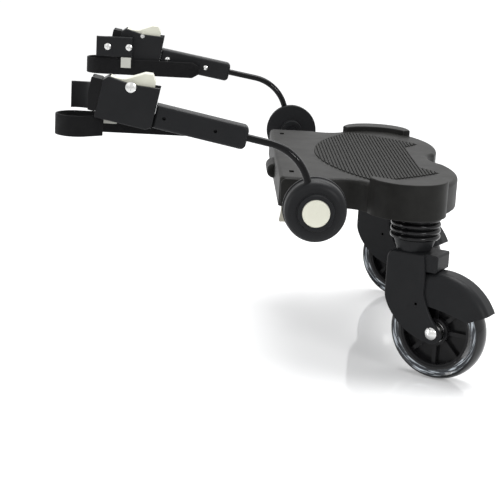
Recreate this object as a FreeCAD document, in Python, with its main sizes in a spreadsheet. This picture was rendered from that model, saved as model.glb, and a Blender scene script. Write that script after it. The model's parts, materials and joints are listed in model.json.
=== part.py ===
import FreeCAD, Part
import math
import os
import re
import Sketcher
from FreeCAD import Placement, Rotation, Vector

# A ride-on board: deck, telescopic pivots, bent rods with strap clamps, two sprung swivel casters.
# Millimetres and degrees. +X is forward, +Y is the board's left, the floor is Z = 0.
os.makedirs("parts", exist_ok=True)

SIZES = {
    # Play and shared details
    "overrun": 8,
    "run_gap": 0.3,
    "fit_gap": 0.06,
    "seat_gap": 0.1,
    "soft_edge": 1.2,
    # Pivot axis of the two arms
    "pivot_x": -34.36,
    "pivot_rise": 17,
    # Deck moulding, measured from the pivot axis
    "deck_thick": 30,
    "skin": 3,
    "beam_front": 30,
    "beam_back": 20,
    "beam_half": 150,
    "corner_round": 6,
    "top_round": 4,
    "kerb_front_x": 58,
    "kerb_front_y": 160,
    "kerb_rear_x": 137,
    "kerb_rear_y": 150,
    "kerb_bulge": 38,
    "kerb_inner_bow": 18,
    "kerb_tip": 8,
    "kerb_rise": 6,
    "kerb_root": 4,
    "waist_dip": 9,
    "lobe_bow": 13,
    "notch_x": 150,
    "notch_y": 32,
    "notch_dip": 11,
    "notch_round": 14,
    "rib_wall": 2.4,
    "rib_depth": 13,
    "rib_pitch": 44,
    "rib_cross_pitch": 33,
    "slot_x": 17,
    "slot_inset": 32,
    "slot_length": 11,
    "slot_width": 5,
    "slot_depth": 2,
    "bumper_radius": 8,
    "bumper_length": 44,
    "bumper_rise": 11,
    # Tread pad
    "tread_front": 65,
    "tread_half": 149,
    "tread_bow": 51,
    "tread_tip_x": 138,
    "tread_tip_y": 88,
    "tread_side_bow": 4,
    "tread_notch_x": 120,
    "tread_notch_y": 62,
    "tread_round": 10,
    "tread_sink": 1.6,
    "tread_thick": 2.6,
    "groove_pitch": 3.6,
    "groove_width": 1.3,
    "groove_depth": 1.1,
    "groove_start": 17,
    "groove_count": 34,
    # Telescopic tubes and end caps
    "cross_radius": 9.5,
    "arm_tube_radius": 8,
    "tube_wall": 1.5,
    "collar_radius": 12,
    "cap_plate": 2.5,
    "arm_tube_inner_y": 85,
    # Width lock under each beam end
    "lock_inset": 20,
    "lock_bracket": 20,
    "lock_bracket_thick": 4,
    "lock_pin_radius": 3,
    "lock_grip_height": 19,
    "lock_grip_front": 28,
    "lock_grip_back": 9,
    "lock_grip_width": 9,
    # Pivot discs
    "disc_y": 230,
    "flange_radius": 30.6,
    "flange_thick": 4,
    "hub_radius": 12.5,
    "hub_length": 14,
    "spigot_radius": 9,
    "spigot_length": 10,
    "web_thick": 3,
    "cap_radius": 29.5,
    "cap_barrel": 10,
    "cap_shoulder": 8,
    "cap_ring_radius": 17,
    "cap_ring_rise": 4,
    "button_radius": 13.1,
    "button_travel": 3,
    "button_rim": 4.8,
    "button_dome": 2.2,
    "button_stem_radius": 3.8,
    "button_stem_length": 10.5,
    "button_bore": 4.2,
    "button_floor": 1.5,
    "button_wire": 0.8,
    "button_coils": 4,
    # Bent rods
    "arm_offset": 15,
    "rod_radius": 3.5,
    "rod_root": 15,
    "rod_rise": 72,
    "rod_reach": 59.5,
    "rod_bend": 48,
    "rod_inset": 4.7,
    "arm_pitch": 11,
    "right_drop": 1.5,
    "exposed_left": 49.7,
    "pin_steps": 4,
    "pin_count": 6,
    "pin_radius": 1.6,
    # Clamp sleeves, lengths along the arm from the sleeve's rear end
    "sleeve_length": 87,
    "sleeve_height": 22,
    "sleeve_half": 9,
    "sleeve_round": 3,
    "pin_first": 30,
    "pin_inset": 9,
    "sleeve_nose": 5,
    # Clamp housing
    "housing_half": 12,
    "housing_length": 52.7,
    "housing_low": 13.5,
    "housing_high": 26,
    "housing_dip": 5,
    "housing_heel": 5,
    "lever_slot": 16.6,
    "lever_floor": 5,
    "lever_gap": 0.35,
    "lever_ahead": 26.3,
    "lever_rise": 21.2,
    "lever_bolt_radius": 2.5,
    "lever_boss": 5.5,
    "lever_play": 1.4,
    "lever_strip": 3,
    "lever_tail": 21,
    "lever_lobe": 12.5,
    "lever_lobe_rise": 15,
    "saddle_thick": 10,
    "saddle_web": 3.5,
    "saddle_half": 11.8,
    "saddle_drop": 8,
    "saddle_lift": 22,
    # Strap, looped about an upright axis
    "leg_radius": 16.5,
    "strap_thick": 2,
    "strap_height": 19,
    "strap_drop": 12,
    "strap_tail": 121,
    "strap_end_turn": 35,
    "strap_anchor": 18,
    "clip_back": 30.7,
    "clip_length": 12,
    "clip_wall": 2.2,
    "clip_depth": 10,
    # Jaw beside the strap's loop, on the inner side, measured from the loop's middle
    "jaw_front": 6,
    "jaw_back": 38,
    "jaw_height": 24,
    "jaw_half": 20.5,
    "jaw_lift": 3,
    # Screw heads of the clamp
    "big_head_radius": 4.85,
    "big_head": 2.4,
    "side_head_radius": 4,
    "side_head": 2,
    "side_screw_radius": 2,
    "side_screw_length": 4.5,
    "side_screw_back": 8,
    "side_screw_span": 26,
    "pin_head_radius": 2.8,
    "pin_head": 1.5,
    "recess_share": 0.6,
    "recess_width": 1,
    # Casters
    "caster_x": 108.5,
    "caster_y": 152,
    "swivel_left": 32,
    "swivel_right": 32,
    "trail": 34,
    "wheel_radius": 50,
    "wheel_width": 24,
    "tyre_bow": 3,
    "tyre_ring_radius": 43,
    "tyre_ring_half": 2,
    "tyre_ring_dip": 1,
    "rim_radius": 36.5,
    "rim_thick": 2.6,
    "rim_width": 21,
    "boss_radius": 14,
    "web_half": 1.5,
    "spoke_width": 4,
    "spoke_half": 6.5,
    "spoke_count": 8,
    "bearing_radius": 11,
    "bearing_bore": 4.1,
    "bearing_width": 7,
    "bearing_half": 11,
    "axle_radius": 4,
    "axle_head_radius": 6.4,
    "axle_head": 4.2,
    "spacer_radius": 6,
    "nut_radius": 6.6,
    "nut_height": 5,
    # Fork and mudguard, measured from the swivel axis or the axle
    "fork_inner": 15.6,
    "fork_plate": 3.4,
    "crown_thick": 17.4,
    "crown_front": 20.5,
    "crown_back": 33,
    "plate_back_top": 19,
    "plate_back_mid": 22,
    "plate_mid_rise": 38,
    "plate_front_rise": 34.6,
    "plate_low_x": 10.5,
    "plate_low_rise": 13.3,
    "plate_back_dip": 3,
    "plate_back_bow": 1.2,
    "plate_front_bow": 1.5,
    "plate_low_bow": 4.5,
    "plate_edge": 2.4,
    "rivet_x": 15,
    "rivet_rise": 27,
    "rivet_radius": 1.5,
    "axle_boss": 11,
    "boss_turn": 65,
    "fork_round": 9,
    "guard_gap": 10.5,
    "guard_round": 9,
    "guard_wall": 1.9,
    "guard_half": 15.2,
    "guard_front": 26,
    "guard_tip": 65,
    "guard_low_x": 35,
    "guard_low": 16.5,
    "guard_low_front": 27,
    "guard_low_bow": 2.3,
    # Suspension
    "stem_radius": 6,
    "stem_head_radius": 8,
    "stem_head": 3,
    "stem_reach": 13.5,
    "cup_low_radius": 17.5,
    "cup_high_radius": 21,
    "cup_height": 11,
    "cup_floor": 3.5,
    "cup_wall": 2.2,
    "bellows_radius": 25.2,
    "bellows_fold": 4.6,
    "bellows_wall": 1.5,
    "bellows_folds": 4,
    "bellows_height": 24.7,
    "spring_radius": 12.6,
    "spring_wire": 2.6,
    "spring_coils": 4,
    "bush_radius": 9,
    "bush_height": 10,
    "boss_outer": 13,
    "boss_plate": 29,
    "clip_radius": 8.6,
    "clip_thick": 1.2,
    "groove_play": 0.15,
}

# Sizes that follow from others
TIED = {
    "guard_radius": "wheel_radius + guard_gap",
    "crown_low": "wheel_radius + guard_radius + seat_gap",
    "crown_top": "crown_low + crown_thick",
    "cup_low": "crown_top + run_gap",
    "cup_top": "cup_low + cup_height",
    "deck_bottom": "cup_top + bellows_height",
    "deck_top": "deck_bottom + deck_thick",
    "pivot_z": "deck_bottom + pivot_rise",
    "bumper_z": "deck_bottom + bumper_rise",
    "stem_top": "deck_bottom + stem_reach",
    "lock_y": "beam_half - lock_inset",
    "slot_y": "beam_half - slot_inset",
    "arm_y": "disc_y + arm_offset",
    "pin_span": "sleeve_length - pin_first - pin_inset",
    "pin_pitch": "pin_span / pin_steps",
    "exposed_right": "exposed_left + pin_pitch",
    "rod_straight": "exposed_left + sleeve_length - rod_inset",
    "housing_rear": "sleeve_length + run_gap",
    "housing_front": "housing_rear + housing_length",
    "lever_pivot": "housing_rear + lever_ahead",
    "lever_nose": "housing_front - housing_heel - lever_play - lever_pivot",
    "cap_base": "flange_thick + run_gap",
    "cap_web": "flange_thick + spigot_length + run_gap",
    "cap_face": "cap_base + cap_barrel + cap_shoulder + cap_ring_rise",
    "button_seat": "cap_web + web_thick + button_travel + run_gap",
}

# Corner shares of the thumb end of the lever, along and up, as parts of its lobe length and rise
LOBE_SHARES = ((0.0, 0.2), (0.0, 0.55), (0.35, 1.0), (0.9, 0.95))

# Heights of a bellows fold's two crest edges and its upper neck, as parts of the fold
FOLD_SHARES = (0.3, 0.7, 1)

# The rise of a quarter-circle arc, as a share of its radius
QUARTER = "(1 - cos(45 deg))"

LEFT, RIGHT = 1, -1
SIDES = {"left": LEFT, "right": RIGHT}
ACROSS = Rotation(Vector(-1, 0, 0), 90)
UPRIGHT = Rotation(Vector(1, 0, 0), 90)
EVEN = Rotation()
NOD = Rotation(Vector(0, 1, 0), 1)
TILT = Rotation(Vector(0, -1, 0), 1)

doc = FreeCAD.newDocument("board")
sheet = doc.addObject("Spreadsheet::Sheet", "sizes")
for row, (name, value) in enumerate(SIZES.items(), start=1):
    sheet.set(f"A{row}", name)
    sheet.set(f"B{row}", str(value))
    sheet.setAlias(f"B{row}", name)
doc.recompute()

PIECES = {}
WORD = re.compile(r"[A-Za-z_]\w*")


# Shared helpers: bound sizes, sketches and features
def full(expr):
    """Writes out the tied sizes in an expression."""
    while any(word in TIED for word in WORD.findall(expr)):
        expr = WORD.sub(lambda m: f"({TIED[m[0]]})" if m[0] in TIED else m[0], expr)
    return expr


def num(expr):
    return float(sheet.evalExpression(full(str(expr))))


def bind(item, prop, expr):
    item.setExpression(prop, WORD.sub(lambda m: "sizes." + m[0] if m[0] in SIZES else m[0], full(expr)))


def place(item, x="0", y="0", z="0", turn=EVEN, angle=None):
    item.Placement = Placement(Vector(num(x), num(y), num(z)), turn)
    for axis, expr in zip("xyz", (x, y, z)):
        bind(item, f"Placement.Base.{axis}", expr)
    if angle:
        bind(item, "Placement.Rotation.Angle", angle)
    return item


def keep(item, node):
    item.Label = node
    PIECES[node] = item
    return item


def dome(radius, height):
    """The rise of an arc from a rim to the top of a ball-shaped head on its axis."""
    ball = f"((({radius})^2 + ({height})^2) / (2 * ({height})))"
    return f"({ball} - sqrt({ball}^2 - (({radius})^2 + ({height})^2) / 4))"


def new_body(node, *spot, **turn):
    return keep(place(doc.addObject("PartDesign::Body", node), *spot, **turn), node)


def new_sketch(body, role, offset="0"):
    sketch = body.newObject("Sketcher::SketchObject", body.Name + "_sketch")
    plane = next(item for item in body.Origin.OriginFeatures if item.Role == role)
    sketch.AttachmentSupport = [(plane, "")]
    sketch.MapMode = "FlatFace"
    if offset != "0":
        sketch.AttachmentOffset = Placement(Vector(0, 0, num(offset)), EVEN)
        bind(sketch, "AttachmentOffset.Base.z", offset)
    return sketch


def free_sketch(name, *spot, **turn):
    return place(doc.addObject("Sketcher::SketchObject", name), *spot, **turn)


def pin_point(rules, names, where, expr, axis):
    """Ties one coordinate of a sketch point to its expression."""
    if num(expr) == 0:
        rules.append(Sketcher.Constraint("PointOnObject", *where, -2 if axis == "X" else -1))
        return
    names[len(rules)] = expr
    rules.append(Sketcher.Constraint("Distance" + axis, -1, 1, *where, num(expr)))


def outline(sketch, corners, closed=True):
    """Draws lines and arcs through corners (x, y) or (x, y, rise); a rise bulges to the right of travel."""
    spots = [Vector(num(c[0]), num(c[1])) for c in corners]
    rules, names, ends = [], {}, []
    first = 0 if closed else 1
    for k in range(first, len(corners)):
        start, stop = spots[k - 1], spots[k]
        if len(corners[k]) < 3:
            item = sketch.addGeometry(Part.LineSegment(start, stop))
            ends.append((item, 1, 2))
            continue
        before, after, rise = corners[k - 1], corners[k], corners[k][2]
        bow, chord = num(rise), stop - start
        radius = chord.Length**2 / (8 * bow) + bow / 2
        left = Vector(-chord.y, chord.x).normalize()
        centre = (start + stop) / 2 + left * (radius - bow)
        way = 1 if bow > 0 else -1
        angles = [math.atan2(p.y - centre.y, p.x - centre.x) for p in (start, stop)[::way]]
        circle = Part.Circle(centre, Vector(0, 0, 1), abs(radius))
        item = sketch.addGeometry(Part.ArcOfCircle(circle, *angles))
        ends.append((item, 1, 2) if way > 0 else (item, 2, 1))
        across = f"(({after[0]}) - ({before[0]}))^2 + (({after[1]}) - ({before[1]}))^2"
        names[len(rules)] = f"abs(({across}) / (8 * ({rise})) + ({rise}) / 2)"
        rules.append(Sketcher.Constraint("Radius", item, abs(radius)))
    for (item, _, stop), (other, start, _) in zip(ends, ends[1:] + ends[:1] if closed else ends[1:]):
        rules.append(Sketcher.Constraint("Coincident", item, stop, other, start))
    holds = [(item, stop) for item, _, stop in ends]
    if not closed:
        holds.insert(0, (ends[0][0], ends[0][1]))
    for where, corner in zip(holds, corners):
        pin_point(rules, names, where, corner[0], "X")
        pin_point(rules, names, where, corner[1], "Y")
    base = sketch.ConstraintCount
    sketch.addConstraint(rules)
    for k, expr in names.items():
        bind(sketch, f"Constraints[{base + k}]", expr)
    return sketch


def ring(sketch, x, y, radius):
    item = sketch.addGeometry(Part.Circle(Vector(num(x), num(y)), Vector(0, 0, 1), num(radius)))
    rules, names = [Sketcher.Constraint("Radius", item, num(radius))], {0: radius}
    pin_point(rules, names, (item, 3), x, "X")
    pin_point(rules, names, (item, 3), y, "Y")
    base = sketch.ConstraintCount
    sketch.addConstraint(rules)
    for k, expr in names.items():
        bind(sketch, f"Constraints[{base + k}]", expr)
    return sketch


def oblong(x0, x1, y0, y1):
    return [(x0, y0), (x1, y0), (x1, y1), (x0, y1)]


def mirrored(half):
    """Closes a left half outline, front to rear, with its mirror image; the last entry is the rear rise."""
    *side, rear = half
    corners = list(side)
    arcs = [corner[2:] for corner in side] + [rear]
    for k in reversed(range(len(side))):
        corners.append((side[k][0], f"-({side[k][1]})", *arcs[k + 1]))
    return corners


def feature(body, kind, sketch, prop, expr, side="Symmetric", back=False):
    item = body.newObject("PartDesign::" + kind, body.Name + "_" + kind.lower())
    item.Profile = sketch
    item.SideType = side
    item.Reversed = back
    bind(item, prop, expr)
    sketch.Visibility = False
    return item


def pad(body, sketch, length, back=False):
    return feature(body, "Pad", sketch, "Length", length, "One side", back)


def pad_both(body, sketch, length):
    return feature(body, "Pad", sketch, "Length", length)


def pocket(body, sketch, depth):
    return feature(body, "Pocket", sketch, "Length", depth)


def revolve(body, corners, role="XY_Plane"):
    """Turns a profile (radius, height) about the upright axis of its sketch."""
    sketch = outline(new_sketch(body, role), corners)
    item = body.newObject("PartDesign::Revolution", body.Name + "_turned")
    item.Profile = sketch
    item.ReferenceAxis = (sketch, ["V_Axis"])
    item.Angle = 360
    return item


def round_body(body, radius, test, kind="Fillet"):
    """Rounds the edges of a body's tip that pass the test."""
    doc.recompute()
    base = body.Tip
    chosen = [f"Edge{k}" for k, edge in enumerate(base.Shape.Edges, start=1) if test(edge)]
    item = body.newObject("PartDesign::" + kind, body.Name + "_rounding")
    item.Base = (base, chosen)
    bind(item, "Radius", radius)
    return item


def round_solid(name, base, radius, test):
    """Rounds the edges of a solid that pass the test."""
    doc.recompute()
    item = doc.addObject("Part::Fillet", name)
    item.Base = base
    size = num(radius)
    item.Edges = [(k, size, size) for k, edge in enumerate(base.Shape.Edges, start=1) if test(edge)]
    return item


def is_upright(edge):
    a, b = edge.Vertexes[0].Point, edge.Vertexes[-1].Point
    return math.hypot(a.x - b.x, a.y - b.y) < num("fit_gap") and abs(a.z - b.z) > num("fit_gap")


def lies_at(axis, expr):
    """A test for edges that lie in one plane across an axis."""
    def test(edge):
        box, level = edge.BoundBox, num(expr)
        low, high = getattr(box, axis + "Min"), getattr(box, axis + "Max")
        return abs(low - level) < num("fit_gap") and abs(high - level) < num("fit_gap")
    return test


# Shared helpers: primitives and booleans
def solid(kind, name, **sizes):
    item = doc.addObject("Part::" + kind, name)
    for prop, expr in sizes.items():
        bind(item, prop, expr)
    return item


def block(name, x0, x1, y0, y1, z0, z1):
    item = solid("Box", name, Length=f"({x1}) - ({x0})", Width=f"({y1}) - ({y0})", Height=f"({z1}) - ({z0})")
    return place(item, x0, y0, z0)


def barrel(name, radius, length, x, y, z, turn=EVEN, angle=None):
    return place(solid("Cylinder", name, Radius=radius, Height=length), x, y, z, turn, angle)


def extrude(name, sketch, length):
    item = doc.addObject("Part::Extrusion", name)
    item.Base = sketch
    item.DirMode = "Custom"
    item.Dir = Vector(0, 0, 1)
    item.Solid = True
    bind(item, "LengthFwd", length)
    return item


def offset(name, sketch, value):
    item = doc.addObject("Part::Offset2D", name)
    item.Source = sketch
    item.Mode = "Pipe"
    bind(item, "Value", value)
    return item


def join(name, *items):
    item = doc.addObject("Part::MultiFuse", name)
    item.Shapes = list(items)
    return item


def cut(name, base, tool):
    item = doc.addObject("Part::Cut", name)
    item.Base = base
    item.Tool = tool
    return item


def group(node, *items):
    item = doc.addObject("Part::Compound", node)
    item.Links = list(items)
    return keep(item, node)


def coil(node, radius, wire, turns, length, x, y, z, turn=EVEN):
    """A round-wire spring along its own axis, on quarter-turn arcs through a helix."""
    mid, thick, rise = num(radius), num(wire), num(length) - num(wire)
    quarters = round(num(turns) * 4)

    def at(step):
        angle = step * math.pi / 2
        height = thick / 2 + rise * step / quarters
        return Vector(mid * math.cos(angle), mid * math.sin(angle), height)

    arcs = [Part.Arc(at(k), at(k + 1 / 2), at(k + 1)).toShape() for k in range(quarters)]
    path = Part.Wire(arcs)
    start = arcs[0].tangentAt(arcs[0].FirstParameter)
    section = Part.Wire(Part.makeCircle(thick / 2, at(0), start))
    item = doc.addObject("Part::Feature", node)
    item.Shape = path.makePipeShell([section], True, False)
    print(node, "least gap between its turns", round(rise * 4 / quarters - thick, 2))
    return keep(place(item, x, y, z, turn), node)


def outward(side):
    """Gives an expression its sign for one side of the board."""
    return lambda expr: expr if side == LEFT else f"-({expr})"


# Deck moulding with its kerbs, ribs, stem bosses and lock brackets
def deck_corners():
    return mirrored([
        ("beam_front", "beam_half"),
        ("-beam_back", "beam_half"),
        ("-kerb_front_x", "kerb_front_y", "-waist_dip"),
        ("-kerb_rear_x", "kerb_rear_y", "kerb_bulge"),
        ("-notch_x", "notch_y", "lobe_bow"),
        ("-notch_dip",),
    ])


def tread_corners():
    return mirrored([
        ("-tread_front", "tread_half", "tread_bow"),
        ("-tread_tip_x", "tread_tip_y", "tread_side_bow"),
        ("-tread_notch_x", "tread_notch_y"),
        (),
    ])


def deck_blank():
    sketch = outline(free_sketch("deck_outline", "pivot_x", "0", "deck_bottom"), deck_corners())
    blank = extrude("deck_block", sketch, "deck_top - deck_bottom")
    limit = num("pivot_x - notch_x + notch_round")

    def at_notch(edge):
        return is_upright(edge) and edge.Vertexes[0].X < limit

    rounded = round_solid("deck_notch_rounding", blank, "notch_round", at_notch)
    rounded = round_solid("deck_corner_rounding", rounded, "corner_round",
                          lambda edge: is_upright(edge) and edge.Vertexes[0].X > limit)
    rounded = round_solid("deck_top_rounding", rounded, "top_round", lies_at("Z", "deck_top"))
    return sketch, rounded


def deck_frame():
    """What stands inside the deck: ribs, the beam's rear wall, stem bosses and lock brackets."""
    rib_low, rib_high = "deck_top - skin - rib_depth", "deck_top"
    rear, front = "pivot_x - notch_x - overrun", "pivot_x + beam_front"
    items = []
    for k in (-3, -2, -1, 0, 1, 2, 3):
        mid = f"{k} * rib_pitch"
        items.append(block("deck_long_rib", rear, front, f"{mid} - rib_wall / 2", f"{mid} + rib_wall / 2",
                           rib_low, rib_high))
    for k in (1, 2, 3):
        mid = f"pivot_x - beam_back - {k} * rib_cross_pitch"
        items.append(block("deck_cross_rib", f"{mid} - rib_wall / 2", f"{mid} + rib_wall / 2",
                           "-kerb_front_y - overrun", "kerb_front_y + overrun", rib_low, rib_high))
    items.append(block("deck_beam_wall", "pivot_x - beam_back", "pivot_x - beam_back + skin",
                       "-beam_half", "beam_half", "deck_bottom", "deck_top"))
    for side in SIDES.values():
        out = outward(side)
        x, y = "pivot_x - caster_x", out("caster_y")
        items.append(barrel("deck_stem_boss", "boss_outer", "deck_top - deck_bottom", x, y, "deck_bottom"))
        items.append(barrel("deck_stem_plate", "boss_plate", "skin", x, y, "deck_bottom"))
        items.append(block("deck_lock_bracket", "pivot_x - beam_back", "pivot_x + beam_front",
                           out("lock_y") + " - lock_bracket / 2", out("lock_y") + " + lock_bracket / 2",
                           "deck_bottom", "deck_bottom + lock_bracket_thick"))
    return join("deck_frame", *items)


def deck_kerb(side):
    out = outward(side)
    bow = "" if side == LEFT else "-"
    inner_bow = "-" if side == LEFT else ""
    corners = [
        ("-kerb_front_x", out("kerb_front_y")),
        ("-kerb_rear_x", out("kerb_rear_y"), bow + "kerb_bulge"),
        ("-kerb_rear_x + kerb_tip", out("kerb_rear_y - kerb_tip / 2")),
        ("-kerb_front_x - kerb_tip / 2", out("kerb_front_y - kerb_tip"), inner_bow + "kerb_inner_bow"),
    ]
    sketch = outline(free_sketch("deck_kerb_outline", "pivot_x", "0", "deck_top - kerb_root"), corners)
    kerb = extrude("deck_kerb_block", sketch, "kerb_root + kerb_rise")
    return round_solid("deck_kerb", kerb, "soft_edge", lies_at("Z", "deck_top + kerb_rise"))


def deck_cutters():
    """What is taken out of the deck: tube way, cap collars, stem bores, tread seat and top slots."""
    sketch = outline(free_sketch("tread_seat", "pivot_x", "0", "deck_top - tread_sink"), tread_corners())
    seat = offset("tread_seat_play", sketch, "run_gap")
    items = [round_solid("deck_tread_seat", extrude("deck_tread_seat_block", seat, "overrun"), "tread_round",
                         is_upright)]
    items.append(barrel("deck_tube_way", "cross_radius + seat_gap", "2 * beam_half", "pivot_x", "-beam_half",
                        "pivot_z", ACROSS))
    for side in SIDES.values():
        out = outward(side)
        items.append(barrel("deck_collar_way", "collar_radius + seat_gap", "2 * skin + run_gap", "pivot_x",
                            f"{out('beam_half')} - skin - run_gap / 2", "pivot_z", ACROSS))
        items.append(barrel("deck_stem_bore", "bush_radius + seat_gap", "deck_thick - skin + overrun",
                            "pivot_x - caster_x", out("caster_y"), "deck_bottom - overrun"))
        items.append(barrel("deck_lock_bore", "lock_pin_radius + run_gap", "pivot_z - deck_bottom + overrun",
                            "pivot_x", out("lock_y"), "deck_bottom - overrun"))
        items.append(block("deck_top_slot",
                           "pivot_x + slot_x - slot_width / 2", "pivot_x + slot_x + slot_width / 2",
                           out("slot_y") + " - slot_length / 2", out("slot_y") + " + slot_length / 2",
                           "deck_top - slot_depth", "deck_top + overrun"))
    return join("deck_cutters", *items)


def make_deck():
    sketch, blank = deck_blank()
    inside = extrude("deck_inside", offset("deck_inner_outline", sketch, "-skin"), "deck_thick - skin")
    shell = cut("deck_shell", blank, cut("deck_cavity", inside, deck_frame()))
    bumper = barrel("deck_bumper_bar", "bumper_radius", "bumper_length", "pivot_x + beam_front",
                    "-bumper_length / 2", "bumper_z", ACROSS)
    bumper = round_solid("deck_bumper", bumper, "bumper_radius / 2", lambda edge: edge.Closed)
    inner = block("deck_bumper_cut", "pivot_x", "pivot_x + beam_front - skin",
                  "-bumper_length", "bumper_length",
                  "bumper_z - 2 * bumper_radius", "bumper_z + 2 * bumper_radius")
    bumper = cut("deck_bumper_front", bumper, inner)
    whole = join("deck_whole", shell, bumper, deck_kerb(LEFT), deck_kerb(RIGHT))
    keep(cut("deck", whole, deck_cutters()), "deck")


def make_tread():
    body = new_body("tread_pad", "pivot_x", "0", "deck_top - tread_sink")
    pad(body, outline(new_sketch(body, "XY_Plane"), tread_corners()), "tread_thick")
    round_body(body, "tread_round", is_upright)
    sketch = new_sketch(body, "XY_Plane", "tread_thick")
    near, far = "-groove_start - groove_width", "-groove_start"
    outline(sketch, oblong(near, far, "-tread_half - overrun", "tread_half + overrun"))
    groove = pocket(body, sketch, "2 * groove_depth")
    rows = body.newObject("PartDesign::LinearPattern", "tread_grooves")
    rows.Originals = [groove]
    rows.Direction = (sketch, ["H_Axis"])
    rows.Reversed = True
    bind(rows, "Length", "(groove_count - 1) * groove_pitch")
    bind(rows, "Occurrences", "groove_count")
    body.Tip = rows


# Tubes, end caps and width locks of the telescopic cross beam
def tube(name, radius, bore, length, y):
    outer = barrel(name + "_outer", radius, length, "pivot_x", y, "pivot_z", ACROSS)
    inner = barrel(name + "_bore", bore, length, "pivot_x", y, "pivot_z", ACROSS)
    return cut(name, outer, inner)


def make_cross_tube():
    half = "(beam_half - skin)"
    base = tube("cross_pipe", "cross_radius", "arm_tube_radius + fit_gap", f"2 * {half}", f"-{half}")
    holes = [barrel("cross_lock_hole", "lock_pin_radius + run_gap", "cross_radius + overrun", "pivot_x",
                    outward(side)("lock_y"), "pivot_z - cross_radius - overrun") for side in SIDES.values()]
    keep(cut("cross_tube", base, join("cross_lock_holes", *holes)), "cross_tube")


def make_end_cap(name, side):
    node = "end_cap_" + name
    body = new_body(node, "pivot_x", outward(side)("beam_half"))
    corners = oblong("-beam_back + soft_edge", "beam_front - soft_edge",
                     "deck_bottom + soft_edge", "deck_top - soft_edge")
    pad(body, outline(new_sketch(body, "XZ_Plane"), corners), "cap_plate", back=side == LEFT)
    face = outward(side)("cap_plate")
    round_body(body, "corner_round", lambda edge: edge.BoundBox.YLength > num("cap_plate / 2"))
    round_body(body, "soft_edge", lies_at("Y", face))
    pad(body, ring(new_sketch(body, "XZ_Plane"), "0", "pivot_z", "collar_radius"), "skin", back=side == RIGHT)
    pocket(body, ring(new_sketch(body, "XZ_Plane"), "0", "pivot_z", "arm_tube_radius + fit_gap"), "4 * skin")


def make_arm_tube(name, side):
    length = "(disc_y - arm_tube_inner_y)"
    start = "arm_tube_inner_y" if side == LEFT else "-disc_y"
    node = "arm_tube_" + name
    keep(tube(node, "arm_tube_radius", "arm_tube_radius - tube_wall", length, start), node)


def make_width_lock(name, side):
    node = "width_lock_" + name
    body = new_body(node, "pivot_x", outward(side)("lock_y"), "deck_bottom - run_gap")
    reach = "(pivot_z - arm_tube_radius - run_gap - deck_bottom + run_gap)"
    revolve(body, oblong("0", "lock_pin_radius", "0", reach), "XZ_Plane")
    profile = [
        ("-lock_grip_back + soft_edge", "0"),
        ("-lock_grip_back", "-lock_grip_height", "-soft_edge"),
        ("lock_grip_front", "-lock_grip_height"),
        ("lock_grip_front - soft_edge", "0", "-soft_edge"),
    ]
    pad_both(body, outline(new_sketch(body, "XZ_Plane"), profile), "lock_grip_width")
    round_body(body, "soft_edge", lies_at("Z", "-lock_grip_height"))


# Pivot discs: flange, cap, button and button spring
def make_flange(name, side):
    out = outward(side)
    body = new_body("disc_flange_" + name, "pivot_x", out("disc_y"), "pivot_z")
    revolve(body, [
        ("0", "0"),
        ("arm_tube_radius + seat_gap", "0"),
        ("arm_tube_radius + seat_gap", out("-hub_length")),
        ("hub_radius", out("-hub_length")),
        ("hub_radius", "0"),
        ("flange_radius", "0"),
        ("flange_radius", out("flange_thick")),
        ("spigot_radius", out("flange_thick")),
        ("spigot_radius", out("flange_thick + spigot_length")),
        ("button_bore", out("flange_thick + spigot_length")),
        ("button_bore", out("button_floor")),
        ("0", out("button_floor")),
    ])
    round_body(body, "soft_edge", lambda edge: edge.Closed and edge.BoundBox.XLength > num("2 * cap_radius"))


def make_cap(name, side):
    out = outward(side)
    node = "disc_cap_" + name
    body = place(doc.addObject("PartDesign::Body", node + "_blank"), "pivot_x", out("disc_y"), "pivot_z")
    shoulder = "cap_base + cap_barrel"
    turn = "" if side == LEFT else "-"
    revolve(body, [
        ("spigot_radius + fit_gap", out("cap_base")),
        ("cap_radius", out("cap_base")),
        ("cap_radius", out(shoulder)),
        ("cap_radius - cap_shoulder", out(shoulder + " + cap_shoulder"), turn + "cap_shoulder * " + QUARTER),
        ("cap_ring_radius + soft_edge", out(shoulder + " + cap_shoulder")),
        ("cap_ring_radius", out("cap_face")),
        ("button_radius + run_gap", out("cap_face")),
        ("button_radius + run_gap", out("cap_web + web_thick")),
        ("button_bore", out("cap_web + web_thick")),
        ("button_bore", out("cap_web")),
        ("spigot_radius + fit_gap", out("cap_web")),
    ])
    socket = barrel(node + "_socket", "rod_radius + seat_gap", "cap_radius", *rod_start(side), NOD,
                    f"90 - {rise(side)}")
    keep(cut(node, body, socket), node)


def make_button(name, side):
    out = outward(side)
    body = new_body("button_" + name, "pivot_x", out("disc_y"), "pivot_z")
    turn = "" if side == LEFT else "-"
    revolve(body, [
        ("0", out("button_seat - button_stem_length")),
        ("button_stem_radius", out("button_seat - button_stem_length")),
        ("button_stem_radius", out("button_seat")),
        ("button_radius", out("button_seat")),
        ("button_radius", out("button_seat + button_rim")),
        ("button_radius - soft_edge", out("button_seat + button_rim + soft_edge"),
         turn + "soft_edge * " + QUARTER),
        ("0", out("button_seat + button_rim + button_dome"),
         turn + dome("button_radius - soft_edge", "button_dome - soft_edge")),
    ])
    coil("button_spring_" + name, "button_bore - button_wire", "button_wire", "button_coils",
         "button_seat - button_stem_length - button_floor",
         "pivot_x", out("disc_y + button_floor"), "pivot_z",
         ACROSS if side == LEFT else UPRIGHT)


# Bent rods with their row of cross holes; the right arm hangs a little lower on its pivot
def rise(side):
    return "rod_rise" if side == LEFT else "(rod_rise - right_drop)"


def pitch(side):
    return "arm_pitch" if side == LEFT else "(arm_pitch - right_drop)"


def heading(angle):
    return f"cos({angle} * 1 deg)", f"sin({angle} * 1 deg)"


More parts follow.
